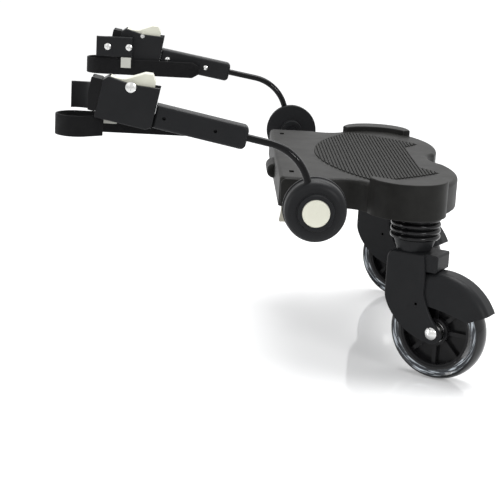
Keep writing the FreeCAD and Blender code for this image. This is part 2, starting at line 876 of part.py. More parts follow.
def along_arm(side, reach, lift="0"):
    """A spot on the arm's straight axis, as X and Z expressions; lift is square to the axis."""
    exposed = "exposed_left" if side == LEFT else "exposed_right"
    reach = f"({exposed} + ({reach}))"
    (up_x, up_z), (fore_x, fore_z) = heading(rise(side)), heading(pitch(side))
    x = f"pivot_x + rod_reach * {up_x} + {reach} * {fore_x} - ({lift}) * {fore_z}"
    z = f"pivot_z + rod_reach * {up_z} + {reach} * {fore_z} + ({lift}) * {fore_x}"
    return x, z


def rod_start(side):
    """Where the rod starts inside its pivot cap."""
    up_x, up_z = heading(rise(side))
    return f"pivot_x + rod_root * {up_x}", outward(side)("arm_y"), f"pivot_z + rod_root * {up_z}"


def make_rod(name, side):
    node = "rod_" + name
    y = outward(side)("arm_y")
    half_turn = "((rod_rise - arm_pitch) / 2 * 1 deg)"
    tangent = f"(rod_bend * tan({half_turn}))"
    up, fore = heading(rise(side)), heading(pitch(side))

    def spot(back, ahead):
        return tuple(f"(rod_reach - ({back})) * {a} + ({ahead}) * {b}" for a, b in zip(up, fore))

    path = free_sketch(node + "_path", "pivot_x", y, "pivot_z", turn=UPRIGHT)
    bend_rise = f"-rod_bend * (1 - cos({half_turn}))"
    start, enter = spot("rod_reach - rod_root", "0"), spot(tangent, "0")
    leave, stop = spot("0", tangent), spot("0", "rod_straight")
    outline(path, [start, enter, (*leave, bend_rise), stop], closed=False)
    section = solid("Circle", node + "_section", Radius="rod_radius")
    place(section, *rod_start(side), NOD, f"90 - {rise(side)}")
    sweep = doc.addObject("Part::Sweep", node + "_bar")
    sweep.Sections = [section]
    sweep.Spine = path
    sweep.Solid = True
    holes = []
    first = -1 if side == LEFT else -2
    for k in range(first, first + int(num("pin_count"))):
        x, z = along_arm(side, f"pin_first + {k} * pin_pitch")
        holes.append(barrel(node + "_hole", "pin_radius + seat_gap", "4 * rod_radius",
                            x, f"{y} - 2 * rod_radius", z, ACROSS))
    keep(cut(node, sweep, join(node + "_holes", *holes)), node)


# Clamps: sleeve halves, housing, lever, saddle, strap, clip and screws
def arm_spot(side):
    x, z = along_arm(side, "0")
    return x, outward(side)("arm_y"), z


def is_sleeve_nose(edge):
    return lies_at("X", "0")(edge) and edge.BoundBox.YLength > num("sleeve_half / 2")


def make_sleeves(name, side):
    for label, way in (("outer", side), ("inner", -side)):
        node = f"sleeve_{label}_{name}"
        body = place(doc.addObject("PartDesign::Body", node + "_blank"), *arm_spot(side), TILT, pitch(side))
        out = outward(way)
        ends = sorted((out("seat_gap / 2"), out("sleeve_half")), key=num)
        pad(body, outline(new_sketch(body, "YZ_Plane"), oblong(
            *ends, "-sleeve_height / 2", "sleeve_height / 2")), "sleeve_length")
        round_body(body, "sleeve_nose", is_sleeve_nose)
        round_body(body, "sleeve_round", lies_at("Y", out("sleeve_half")))
        x, y, z = arm_spot(side)
        holes = [barrel(node + "_way", "rod_radius + seat_gap", "sleeve_length + overrun", x, y, z, NOD,
                        f"90 - {pitch(side)}")]
        for k in (0, 1):
            x, z = along_arm(side, f"pin_first + {k} * pin_span")
            holes.append(barrel(node + "_hole", "pin_radius + seat_gap", "4 * sleeve_half", x,
                                f"{y} - 2 * sleeve_half", z, ACROSS))
        keep(cut(node, body, join(node + "_holes", *holes)), node)


def leg_spot(side):
    """The middle of the strap's loop, and the strap's lower edge."""
    x, z = along_arm(side, "housing_front")
    return f"{x} + saddle_web + leg_radius", outward(side)("arm_y"), f"{z} - strap_drop - strap_height"


def make_housing(name, side):
    node = "clamp_housing_" + name
    body = place(doc.addObject("PartDesign::Body", node + "_blank"), *arm_spot(side), TILT, pitch(side))
    pad_both(body, outline(new_sketch(body, "XZ_Plane"), [
        ("housing_rear", "-sleeve_height / 2"),
        ("housing_rear + housing_heel", "-housing_low"),
        ("housing_front", "-housing_low"),
        ("housing_front", "housing_high - housing_heel"),
        ("housing_front - housing_heel", "housing_high"),
        ("lever_pivot", "housing_high - housing_dip / 2"),
        ("housing_rear", "housing_high"),
    ]), "2 * housing_half")
    for face in ("housing_half", "-housing_half"):
        round_body(body, "soft_edge", lies_at("Y", face))
    slot = outline(new_sketch(body, "XZ_Plane"), oblong(
        "housing_rear - overrun", "housing_front - housing_heel", "lever_floor", "housing_high + overrun"))
    pocket(body, slot, "lever_slot")
    bolt = ring(new_sketch(body, "XZ_Plane"), "lever_pivot", "lever_rise", "lever_bolt_radius + seat_gap")
    pocket(body, bolt, "4 * housing_half")
    keep(cut(node, body, strap_solid(node + "_slot", side, "strap_thick / 2 + run_gap", "run_gap")), node)


def strap_solid(name, side, half, extra):
    """The strap's band: tail, inner run, loop and the anchor end."""
    out = outward(side)
    turn = "-" if side == RIGHT else ""
    back = "" if side == RIGHT else "-"
    mid = "(leg_radius + strap_thick / 2)"
    sine, cosine = "sin(strap_end_turn * 1 deg)", "cos(strap_end_turn * 1 deg)"
    outer, inner = f"({mid} + {half})", f"({mid} - ({half}))"

    def at_end(radius, ahead):
        return f"-{radius} * {sine} - ({ahead}) * {cosine}", out(f"{radius} * {cosine} - ({ahead}) * {sine}")

    arc = "(1 - sin(45 deg))"
    last = "(1 - cos((90 + strap_end_turn) / 2 * 1 deg))"
    corners = [
        (f"-strap_tail - ({extra})", out(f"-{outer}")),
        ("0", out(f"-{outer}")),
        (outer, "0", f"{turn}{outer} * {arc}"),
        (*at_end(outer, "0"), f"{turn}{outer} * {last}"),
        at_end(outer, f"strap_anchor + {extra}"),
        at_end(inner, f"strap_anchor + {extra}"),
        at_end(inner, "0"),
        (inner, "0", f"{back}{inner} * {last}"),
        ("0", out(f"-{inner}"), f"{back}{inner} * {arc}"),
        (f"-strap_tail - ({extra})", out(f"-{inner}")),
    ]
    x, y, z = leg_spot(side)
    sketch = outline(free_sketch(name + "_band", x, y, f"{z} - ({extra})"), corners)
    return extrude(name, sketch, f"strap_height + 2 * ({extra})")


def make_saddle(name, side):
    node = "saddle_" + name
    body = place(doc.addObject("PartDesign::Body", node + "_blank"), *arm_spot(side), TILT, pitch(side))
    pad_both(body, outline(new_sketch(body, "XZ_Plane"), oblong(
        "housing_front", "housing_front + saddle_thick", "-saddle_drop", "saddle_lift")), "2 * saddle_half")
    round_body(body, "soft_edge", lambda edge: edge.BoundBox.YLength > num("saddle_half"))
    x, y, z = leg_spot(side)
    leg = barrel(node + "_leg", "leg_radius", "4 * saddle_lift", x, y, f"{z} - saddle_lift")
    keep(cut(node, body, leg), node)


def jaw_spot(side, back):
    """A spot on the jaw's inner face, level with its middle, at a distance behind the loop's middle."""
    x, y, z = leg_spot(side)
    inner = outward(side)("arm_y - jaw_half")
    return f"{x} - ({back})", inner, f"{z} + strap_height + jaw_lift + jaw_height / 2"


def make_jaw(name, side):
    node = "clamp_jaw_" + name
    x, y, z = leg_spot(side)
    out = outward(side)
    low = f"{z} + strap_height + jaw_lift"
    ends = sorted((out("arm_y - jaw_half"), out("arm_y - housing_half - seat_gap")), key=num)
    plain = block(node + "_block", f"{x} - jaw_back", f"{x} + jaw_front", *ends, low, f"{low} + jaw_height")
    rounded = round_solid(node + "_rounding", plain, "soft_edge", lies_at("Y", out("arm_y - jaw_half")))
    tools = [barrel(node + "_leg", "leg_radius", "2 * jaw_height", x, y, z)]
    for k in (0, 1):
        spot = jaw_spot(side, f"side_screw_back + {k} * side_screw_span")
        tools.append(barrel(node + "_bore", "side_screw_radius + seat_gap", "side_screw_length + run_gap",
                            *spot, ACROSS if side == LEFT else UPRIGHT))
    keep(cut(node, rounded, join(node + "_ways", *tools)), node)


def make_strap(name, side):
    keep(strap_solid("strap_" + name, side, "strap_thick / 2", "0"), "strap_" + name)
    out = outward(side)
    x, y, z = leg_spot(side)
    x, top = f"{x} - clip_back", f"({z} + strap_height)"
    far = "arm_y - leg_radius - strap_thick - run_gap"
    ends = sorted((out(f"{far} - clip_wall"), out("arm_y - housing_half")), key=num)
    hook = block(f"strap_clip_{name}_block", f"{x} - clip_length / 2", f"{x} + clip_length / 2", *ends,
                 f"{top} - clip_depth", f"{top} + run_gap + clip_wall")
    gap = sorted((out(far), out("arm_y - leg_radius + run_gap")), key=num)
    way = block(f"strap_clip_{name}_way", f"{x} - clip_length", f"{x} + clip_length", *gap,
                f"{top} - 2 * clip_depth", f"{top} + run_gap")
    keep(cut("strap_clip_" + name, hook, way), "strap_clip_" + name)


def make_lever(name, side):
    node = "lever_" + name
    body = new_body(node, *arm_spot(side), turn=TILT, angle=pitch(side))
    px, pz = "lever_pivot", "lever_rise"
    tail, lobe, rise = "(lever_pivot - lever_tail)", "lever_lobe", "lever_lobe_rise"
    crest = [(f"{tail} + {lobe} * {a}", f"{pz} + {rise} * {b}") for a, b in LOBE_SHARES]
    pad_both(body, outline(new_sketch(body, "XZ_Plane"), [
        (px, f"{pz} - lever_boss"),
        (f"{px} + lever_boss", pz, "lever_boss * " + QUARTER),
        (f"{px} + lever_nose", "housing_high - lever_strip"),
        (f"{px} + lever_nose", "housing_high"),
        (f"{px} + lever_boss", f"{pz} + lever_boss", "-lever_strip / 4"),
        *reversed(crest),
        (f"{px} - lever_boss", f"{pz} - lever_strip / 2", "lever_strip / 2"),
    ]), "lever_slot - 2 * lever_gap")
    bolt = ring(new_sketch(body, "XZ_Plane"), px, pz, "lever_bolt_radius + fit_gap")
    pocket(body, bolt, "4 * housing_half")


def screw(name, spot, facing, shank, length, head, height):
    """A round-headed screw across the arm, with a cross recess; facing is the side its head is on."""
    body = place(doc.addObject("PartDesign::Body", name), *spot, ACROSS if facing == LEFT else UPRIGHT)
    revolve(body, [
        ("0", f"-({length})"),
        (shank, f"-({length})"),
        (shank, "0"),
        (head, "0"),
        (head, f"{height} / 2"),
        ("0", height, dome(head, f"{height} / 2")),
    ], "XZ_Plane")
    long, wide = f"{head} * recess_share", "recess_width / 2"
    for x, y in ((long, wide), (wide, long)):
        pocket(body, outline(new_sketch(body, "XY_Plane", height), oblong(f"-{x}", x, f"-{y}", y)), height)
    return body


def make_screws(name, side):
    node = "clamp_screws_" + name
    out = outward(side)
    x, z = along_arm(side, "lever_pivot", "lever_rise")
    items = [screw(node + "_lever", (x, out("arm_y + housing_half"), z), side, "lever_bolt_radius",
                   "2 * housing_half - soft_edge", "big_head_radius", "big_head")]
    for k in (0, 1):
        items.append(screw(node + "_side", jaw_spot(side, f"side_screw_back + {k} * side_screw_span"), -side,
                           "side_screw_radius", "side_screw_length", "side_head_radius", "side_head"))
        x, z = along_arm(side, f"pin_first + {k} * pin_span")
        items.append(screw(node + "_pin", (x, out("arm_y - sleeve_half"), z), -side, "pin_radius",
                           "sleeve_half + rod_radius", "pin_head_radius", "pin_head"))
    group(node, *items)


# Casters: bush, stem, cup, bellows, spring, clip
def stem_spot(side):
    return "pivot_x - caster_x", outward(side)("caster_y")


def make_bushes():
    items = []
    for name, side in SIDES.items():
        x, y = stem_spot(side)
        body = place(doc.addObject("PartDesign::Body", "bush_" + name), x, y, "deck_bottom")
        revolve(body, oblong("stem_radius + fit_gap", "bush_radius", "0", "bush_height"), "XZ_Plane")
        items.append(body)
    group("stem_bushes", *items)


def make_suspension(name, side):
    spot = stem_spot(side)
    clip_low = "(deck_bottom + bush_height + run_gap)"
    neck = "(stem_radius - clip_thick)"
    body = new_body("stem_" + name, *spot)
    head_low = "(crown_low + run_gap)"
    revolve(body, [
        ("0", head_low),
        ("stem_head_radius", head_low),
        ("stem_head_radius", f"{head_low} + stem_head"),
        ("stem_radius", f"{head_low} + stem_head"),
        ("stem_radius", clip_low),
        (neck, clip_low),
        (neck, f"{clip_low} + clip_thick + groove_play"),
        ("stem_radius", f"{clip_low} + clip_thick + groove_play"),
        ("stem_radius", "stem_top - soft_edge"),
        ("stem_radius - soft_edge", "stem_top"),
        ("0", "stem_top"),
    ], "XZ_Plane")
    body = new_body("stem_clip_" + name, *spot)
    revolve(body, oblong(f"{neck} + seat_gap", "clip_radius", f"{clip_low} + groove_play / 2",
                         f"{clip_low} + clip_thick + groove_play / 2"), "XZ_Plane")
    body = new_body("spring_cup_" + name, *spot)
    revolve(body, [
        ("stem_radius + seat_gap", "cup_low"),
        ("cup_low_radius", "cup_low"),
        ("cup_high_radius", "cup_top"),
        ("cup_high_radius - cup_wall", "cup_top"),
        ("cup_low_radius - cup_wall", "cup_low + cup_floor"),
        ("stem_radius + seat_gap", "cup_low + cup_floor"),
    ], "XZ_Plane")
    make_bellows(name, spot)
    coil("spring_" + name, "spring_radius", "spring_wire", "spring_coils",
         "deck_bottom - cup_low - cup_floor", *spot, "cup_low + cup_floor")


def make_bellows(name, spot):
    """Folds of one steady wall: each fold is a ring between two necks."""
    body = new_body("bellows_" + name, *spot)
    low, high = "(cup_top + seat_gap)", "(deck_bottom - seat_gap)"
    pitch = f"(({high} - {low}) / bellows_folds)"
    neck = "(bellows_radius - bellows_fold)"
    wall = [(neck, low)]
    for k in range(int(num("bellows_folds"))):
        for radius, share in zip(("bellows_radius", "bellows_radius", neck), FOLD_SHARES):
            wall.append((radius, f"{low} + {pitch} * {k + share}"))
    lining = [(f"{radius} - bellows_wall", height) for radius, height in reversed(wall)]
    revolve(body, wall + lining, "XZ_Plane")


# Casters: fork, mudguard, axle and wheel
def caster_spot(side):
    return *stem_spot(side), "0"


def axle_spot(side):
    angle = "swivel_left" if side == LEFT else "swivel_right"
    x, y = stem_spot(side)
    return f"{x} - trail * cos({angle} * 1 deg)", f"{y} + trail * sin({angle} * 1 deg)", "wheel_radius"


def swivel(side):
    angle = "swivel_left" if side == LEFT else "swivel_right"
    return {"turn": Rotation(Vector(0, 0, -1), 1), "angle": angle}


def make_fork(name, side):
    body = new_body("fork_" + name, *caster_spot(side), **swivel(side))
    wide = "2 * (fork_inner + fork_plate)"
    pad_both(body, outline(new_sketch(body, "XZ_Plane"), [
        ("crown_front", "crown_top - fork_round"),
        ("crown_front - fork_round", "crown_top", "fork_round * " + QUARTER),
        ("-plate_back_top", "crown_top"),
        ("-plate_back_mid", "wheel_radius + plate_mid_rise", "plate_back_bow"),
        ("-trail - axle_boss", "wheel_radius", "-plate_back_dip"),
        ("-trail", "wheel_radius - axle_boss", "axle_boss * " + QUARTER),
        ("-trail + axle_boss * cos(boss_turn * 1 deg)", "wheel_radius - axle_boss * sin(boss_turn * 1 deg)",
         "axle_boss * (1 - cos((90 - boss_turn) / 2 * 1 deg))"),
        ("plate_low_x", "wheel_radius + plate_low_rise", "plate_low_bow"),
        ("crown_front", "wheel_radius + plate_front_rise", "plate_front_bow"),
    ]), wide)
    pad_both(body, outline(new_sketch(body, "XZ_Plane"), oblong(
        "-crown_back", "0", "crown_low", "crown_top")), "2 * fork_inner")
    pocket(body, outline(new_sketch(body, "XZ_Plane"), oblong(
        "-trail - wheel_radius", "crown_front + overrun", "-overrun", "crown_low")), "2 * fork_inner")
    round_body(body, "plate_edge", lies_at("X", "-crown_back"))
    level = num("wheel_radius + plate_front_rise + plate_edge")
    for face in ("fork_inner + fork_plate", "-fork_inner - fork_plate"):
        at_face = lies_at("Y", face)
        round_body(body, "plate_edge", lambda edge: at_face(edge) and edge.BoundBox.ZMax > level)
    for x, z, radius in (("-rivet_x", "wheel_radius + rivet_rise", "rivet_radius"),
                         ("-trail", "wheel_radius", "axle_radius + seat_gap")):
        pocket(body, ring(new_sketch(body, "XZ_Plane"), x, z, radius), "2 * " + wide)
    pocket(body, ring(new_sketch(body, "XY_Plane", "crown_top"), "0", "0", "stem_radius + fit_gap"),
           "2 * crown_thick")
    pocket(body, ring(new_sketch(body, "XY_Plane", "crown_low"), "0", "0", "stem_head_radius + run_gap"),
           "2 * (stem_head + 2 * run_gap)")


def make_mudguard(name, side):
    """A ring with round shoulders about the axle, of which only the side outline is kept."""
    body = new_body("mudguard_" + name, *axle_spot(side), **swivel(side))
    top, half, curve = "guard_radius", "guard_half", "guard_round"
    low = "(guard_low - guard_wall)"
    outer, inner = "guard_round * " + QUARTER, "-(guard_round - guard_wall) * " + QUARTER
    revolve(body, [
        (low, f"-{half}"),
        (f"{top} - {curve}", f"-{half}"),
        (top, f"-{half} + {curve}", outer),
        (top, f"{half} - {curve}"),
        (f"{top} - {curve}", half, outer),
        (low, half),
        (low, f"{half} - guard_wall"),
        (f"{top} - {curve}", f"{half} - guard_wall"),
        (f"{top} - guard_wall", f"{half} - {curve}", inner),
        (f"{top} - guard_wall", f"-{half} + {curve}"),
        (f"{top} - {curve}", f"-{half} + guard_wall", inner),
        (low, f"-{half} + guard_wall"),
    ])
    far = "(guard_radius + overrun)"
    front, tip = heading("guard_front"), heading("guard_tip")
    front_x = f"guard_radius * {front[1]}"
    sketch = outline(new_sketch(body, "XZ_Plane"), oblong(
        f"-2 * {far}", f"2 * {far}", f"-2 * {far}", f"2 * {far}"))
    outline(sketch, [
        (front_x, "guard_low_front", "-guard_low_bow"),
        (front_x, far),
        (f"-{far}", far),
        (f"-{far} * {tip[1]}", f"{far} * {tip[0]}"),
        ("-guard_low_x", "guard_low"),
    ])
    pocket(body, sketch, "4 * guard_half")


def make_axle(name, side):
    node = "axle_" + name
    out = outward(side)
    wide = "(fork_inner + fork_plate)"
    spot = axle_spot(side)
    bolt = place(doc.addObject("PartDesign::Body", node + "_bolt"), *spot, **swivel(side))
    turn = "" if side == LEFT else "-"
    revolve(bolt, [
        ("0", out(f"-{wide} - nut_height")),
        ("axle_radius", out(f"-{wide} - nut_height")),
        ("axle_radius", out(wide)),
        ("axle_head_radius", out(wide)),
        ("axle_head_radius", out(f"{wide} + axle_head / 3")),
        ("0", out(f"{wide} + axle_head"), turn + dome("axle_head_radius", "axle_head * 2 / 3")),
    ])
    nut = place(doc.addObject("PartDesign::Body", node + "_nut"), *spot, **swivel(side))
    sketch = new_sketch(nut, "XZ_Plane", out(wide))
    points = [(f"nut_radius * cos({60 * k} deg)", f"nut_radius * sin({60 * k} deg)") for k in range(6)]
    ring(outline(sketch, points), "0", "0", "axle_radius + seat_gap")
    pad(nut, sketch, "nut_height", back=side == RIGHT)
    spacers = []
    for k in (-1, 1):
        spacer = place(doc.addObject("PartDesign::Body", node + "_spacer"), *spot, **swivel(side))
        revolve(spacer, oblong("axle_radius + seat_gap", "spacer_radius", f"{k} * (bearing_half + seat_gap)",
                               f"{k} * (fork_inner - seat_gap)"))
        spacers.append(spacer)
    group(node, bolt, nut, *spacers)


def make_wheel(name, side):
    spot, turn = axle_spot(side), swivel(side)
    tyre = new_body("tyre_" + name, *spot, **turn)
    half, ridge = "wheel_width / 2", "tyre_ring_radius"
    revolve(tyre, [
        ("rim_radius + seat_gap", f"-{half} + soft_edge"),
        (f"{ridge} - tyre_ring_half", f"-{half}"),
        (ridge, f"-{half} + tyre_ring_dip"),
        (f"{ridge} + tyre_ring_half", f"-{half}"),
        ("wheel_radius - tyre_bow", f"-{half} + soft_edge"),
        ("wheel_radius - tyre_bow", f"{half} - soft_edge", "tyre_bow"),
        (f"{ridge} + tyre_ring_half", half),
        (ridge, f"{half} - tyre_ring_dip"),
        (f"{ridge} - tyre_ring_half", half),
        ("rim_radius + seat_gap", f"{half} - soft_edge"),
    ])
    hub = new_body("hub_" + name, *spot, **turn)
    inner, seat = "rim_radius - rim_thick", "bearing_half - bearing_width"
    revolve(hub, [
        ("axle_radius + 4 * run_gap", f"-({seat})"),
        ("bearing_radius + seat_gap", f"-({seat})"),
        ("bearing_radius + seat_gap", "-bearing_half"),
        ("boss_radius", "-bearing_half"),
        ("boss_radius", "-web_half"),
        (inner, "-web_half"),
        (inner, "-rim_width / 2"),
        ("rim_radius", "-rim_width / 2"),
        ("rim_radius", "rim_width / 2"),
        (inner, "rim_width / 2"),
        (inner, "web_half"),
        ("boss_radius", "web_half"),
        ("boss_radius", "bearing_half"),
        ("bearing_radius + seat_gap", "bearing_half"),
        ("bearing_radius + seat_gap", seat),
        ("axle_radius + 4 * run_gap", seat),
    ])
    bar = oblong("boss_radius - soft_edge", f"{inner} + soft_edge", "-spoke_width / 2", "spoke_width / 2")
    spoke = pad_both(hub, outline(new_sketch(hub, "XZ_Plane"), bar), "2 * spoke_half")
    spokes = hub.newObject("PartDesign::PolarPattern", "hub_spokes")
    spokes.Originals = [spoke]
    spokes.Axis = (next(item for item in hub.Origin.OriginFeatures if item.Role == "Y_Axis"), [""])
    spokes.Angle = 360
    bind(spokes, "Occurrences", "spoke_count")
    hub.Tip = spokes
    rings = []
    for k in (-1, 1):
        body = place(doc.addObject("PartDesign::Body", f"bearing_{name}"), *spot, **turn)
        revolve(body, oblong("bearing_bore", "bearing_radius", f"{k} * bearing_half", f"{k} * ({seat})"))
        rings.append(body)
    group("bearings_" + name, *rings)


make_deck()
make_tread()
make_cross_tube()
make_bushes()
for name, side in SIDES.items():
    make_end_cap(name, side)
    make_arm_tube(name, side)
    make_width_lock(name, side)
    make_flange(name, side)
    make_cap(name, side)
    make_button(name, side)
    make_rod(name, side)
    make_sleeves(name, side)
    make_housing(name, side)
    make_saddle(name, side)
    make_jaw(name, side)
    make_strap(name, side)
    make_lever(name, side)
    make_screws(name, side)
    make_suspension(name, side)
    make_fork(name, side)
    make_mudguard(name, side)
    make_axle(name, side)
    make_wheel(name, side)
doc.recompute()

# Every object must be sound before anything is written
broken = [item.Name for item in doc.Objects if {"Invalid", "Error"} & set(item.State)]
if broken:
    raise RuntimeError(f"these did not build: {broken}")
for node, item in PIECES.items():
    shape = item.Shape
    if shape.isNull() or not shape.isValid() or not shape.Solids:
        raise RuntimeError(f"{node} is not a sound solid")
for node, item in PIECES.items():
    item.Shape.exportStep(f"parts/{node}.step")
print(len(PIECES), "pieces written")
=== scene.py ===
import json
import math

import bmesh
import bpy
from mathutils import Matrix, Vector


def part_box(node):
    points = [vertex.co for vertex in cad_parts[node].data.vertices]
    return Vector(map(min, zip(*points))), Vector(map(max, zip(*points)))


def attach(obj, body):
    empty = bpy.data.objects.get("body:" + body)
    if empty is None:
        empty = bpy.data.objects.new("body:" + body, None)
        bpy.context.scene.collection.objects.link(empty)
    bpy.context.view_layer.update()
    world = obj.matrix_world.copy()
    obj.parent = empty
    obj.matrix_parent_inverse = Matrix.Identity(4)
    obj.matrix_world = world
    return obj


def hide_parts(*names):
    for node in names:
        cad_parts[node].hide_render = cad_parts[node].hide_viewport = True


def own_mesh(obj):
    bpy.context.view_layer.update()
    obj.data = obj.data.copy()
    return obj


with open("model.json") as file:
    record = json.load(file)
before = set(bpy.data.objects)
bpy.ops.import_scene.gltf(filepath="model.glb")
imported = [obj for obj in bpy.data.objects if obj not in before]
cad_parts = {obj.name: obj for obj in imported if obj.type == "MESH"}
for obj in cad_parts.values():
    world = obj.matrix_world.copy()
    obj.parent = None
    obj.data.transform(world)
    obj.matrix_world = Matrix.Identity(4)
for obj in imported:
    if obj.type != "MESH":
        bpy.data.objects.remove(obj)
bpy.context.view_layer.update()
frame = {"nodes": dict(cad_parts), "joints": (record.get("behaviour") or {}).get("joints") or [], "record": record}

# Lengths are in metres, in the part's own frame, and turns in degrees
MM = 0.001
QUARTER_TURN = 90
HALF_TURN = 180
SIDES = {"left": 1, "right": -1}
MOUNTS = {mount["name"]: mount for mount in frame["record"]["mounts"]}
JOINTS = {joint["name"]: joint for joint in frame["joints"]}


# Shader-node helpers
def new_material(name):
    material = bpy.data.materials.new(name)
    material.use_nodes = True
    tree = material.node_tree
    return material, tree, tree.nodes["Principled BSDF"]


def node(tree, kind, **values):
    """Adds a shader node; values are its properties, or its inputs by name with spaces as underscores."""
    item = tree.nodes.new("ShaderNode" + kind)
    for key, value in values.items():
        socket = item.inputs.get(key.replace("_", " "))
        if socket is not None and not hasattr(item, key):
            socket.default_value = value
        else:
            setattr(item, key, value)
    return item


def feed(tree, socket, value):
    """Links a socket to another node's output, or sets it to a constant."""
    if isinstance(value, bpy.types.NodeSocket):
        tree.links.new(value, socket)
    elif socket.type == "RGBA":
        socket.default_value = (*value, 1)
    else:
        socket.default_value = value


def set_shader(tree, shader, **values):
    """Feeds the shader's inputs by name, with spaces as underscores."""
    for key, value in values.items():
        feed(tree, shader.inputs[key.replace("_", " ")], value)


def coordinates(tree, kind="Object"):
    return node(tree, "TexCoord").outputs[kind]


def noise(tree, scale, detail=3.0, rough=0.55):
    item = node(tree, "TexNoise", Scale=scale, Detail=detail, Roughness=rough)
    feed(tree, item.inputs["Vector"], coordinates(tree))
    return item.outputs["Fac"]


def wave(tree, vector, **values):
    item = node(tree, "TexWave", **values)
    feed(tree, item.inputs["Vector"], vector)
    return item.outputs["Fac"]


def axis_value(tree, vector, axis):
    item = node(tree, "SeparateXYZ")
    feed(tree, item.inputs["Vector"], vector)
    return item.outputs[axis]


def ramp(tree, source, low, high, start=0.0, stop=1.0):
    item = node(tree, "MapRange", From_Min=start, From_Max=stop, To_Min=low, To_Max=high)
    feed(tree, item.inputs["Value"], source)
    return item.outputs["Result"]


def tint(tree, share, first, second):
    """Goes from the first colour to the second as the share rises."""
    item = node(tree, "Mix", data_type="RGBA")
    feed(tree, item.inputs["Factor"], share)
    feed(tree, item.inputs["A"], first)
    feed(tree, item.inputs["B"], second)
    return item.outputs["Result"]


def bump(tree, height, strength, depth):
    item = node(tree, "Bump", Strength=strength, Distance=depth)
    feed(tree, item.inputs["Height"], height)
    return item.outputs["Normal"]


def calculate(tree, operation, *values):
    """Works on numbers, each another node's output or a constant."""
    item = node(tree, "Math", operation=operation)
    for socket, value in zip(item.inputs, values):
        feed(tree, socket, value)
    return item.outputs["Value"]


def vector_math(tree, operation, *values):
    """Works on vectors, each another node's output or a constant."""
    item = node(tree, "VectorMath", operation=operation)
    for socket, value in zip(item.inputs, values):
        feed(tree, socket, value)
    return item.outputs["Value" if operation in ("LENGTH", "DOT_PRODUCT") else "Vector"]


def scaled(tone, share):
    return tuple(share * part for part in tone)


# Moulded plastic and rubber: mottled tone, fine grain, paler edges, partly wear and partly painted highlight
MOTTLE_SCALE, MOTTLE_LOW, MOTTLE_HIGH = 28.0, 0.35, 0.65
MOTTLE_SHARE = 0.15
WEAR_RADIUS, WEAR_SAMPLES = 0.0012, 6
WEAR_FULL, WEAR_NONE = 0.86, 0.995
PATCH_SCALE, PATCH_SWING = 60.0, 0.06
GRAIN_DETAIL, GRAIN_ROUGH, GRAIN_STRENGTH = 4.0, 0.6, 0.6
USUAL_WEAR, USUAL_SHINE = 0.25, 0.12
MOULDED_COAT_ROUGH = 0.12


def edge_wear_and_highlight(tree):
    """Where the rounded normal leaves the true one: one on sharp edges, zero on flats."""
    soft = node(tree, "Bevel", samples=WEAR_SAMPLES, Radius=WEAR_RADIUS).outputs["Normal"]
    true = node(tree, "NewGeometry").outputs["Normal"]
    return ramp(tree, vector_math(tree, "DOT_PRODUCT", soft, true), 1.0, 0.0, WEAR_FULL, WEAR_NONE)


def moulded(name, base, pale, rough, grain, depth, wear_and_highlight=USUAL_WEAR, coat=0.0, shine=USUAL_SHINE):
    material, tree, shader = new_material(name)
    spots = ramp(tree, noise(tree, MOTTLE_SCALE), 0.0, 1.0, MOTTLE_LOW, MOTTLE_HIGH)
    fleck = tuple((1 - MOTTLE_SHARE) * dark + MOTTLE_SHARE * light for dark, light in zip(base, pale))
    # Paler edges: wear, and on the deck a painted highlight line along its edges
    worn_and_highlit = ramp(tree, edge_wear_and_highlight(tree), 0.0, wear_and_highlight)
    patches = noise(tree, PATCH_SCALE)
    fine = noise(tree, grain, GRAIN_DETAIL, GRAIN_ROUGH)
    set_shader(
        tree, shader,
        Base_Color=tint(tree, worn_and_highlit, tint(tree, spots, base, fleck), pale),
        Roughness=ramp(tree, patches, rough - PATCH_SWING, rough + PATCH_SWING),
        Normal=bump(tree, fine, GRAIN_STRENGTH, depth),
        Specular_IOR_Level=shine,
        Coat_Weight=coat,
        Coat_Roughness=MOULDED_COAT_ROUGH,
    )
    return material


# Ribbed rubber: grooves darkened with painted shade, paler rib tops with fine nicks across them
# Heights of the groove floor and the rib top are shares of the pad's thickness
GROOVE_SHARE, RIB_SHARE = 0.6, 0.97
GROOVE_SHADE_TONE, RIB_TONE = (0.002, 0.002, 0.002), (0.021, 0.021, 0.0195)
NICK_SCALE, NICK_WANDER, NICK_DETAIL = 120.0, 0.6, 1.0
NICK_SHARE = 0.62
NICK_STRENGTH, NICK_DEPTH = 0.4, 0.0003
TREAD_ROUGH, TREAD_SHINE = 0.6, 0.12


def ribbed(name):
    material, tree, shader = new_material(name)
    nicks = wave(tree, coordinates(tree), bands_direction="Y", Scale=NICK_SCALE, Distortion=NICK_WANDER,
                 Detail=NICK_DETAIL)
    height = axis_value(tree, coordinates(tree, "Generated"), "Z")
    top = tint(tree, nicks, scaled(RIB_TONE, NICK_SHARE), RIB_TONE)
    set_shader(
        tree, shader,
        # Darker towards the groove floor: painted shade in the grooves
        Base_Color=tint(tree, ramp(tree, height, 0.0, 1.0, GROOVE_SHARE, RIB_SHARE), GROOVE_SHADE_TONE, top),
        Roughness=TREAD_ROUGH,
        Normal=bump(tree, nicks, NICK_STRENGTH, NICK_DEPTH),
        Specular_IOR_Level=TREAD_SHINE,
    )
    return material


# Plated or drawn steel with fine turning marks
MARK_WANDER, MARK_DETAIL = 1.5, 2.0
MARK_STRENGTH, MARK_DEPTH = 0.15, 0.00005
SPOT_SCALE, SPOT_SHARE, SPOT_SWING = 140.0, 0.8, 0.07
SHANK_SHADE_TONE = (0.012, 0.012, 0.013)


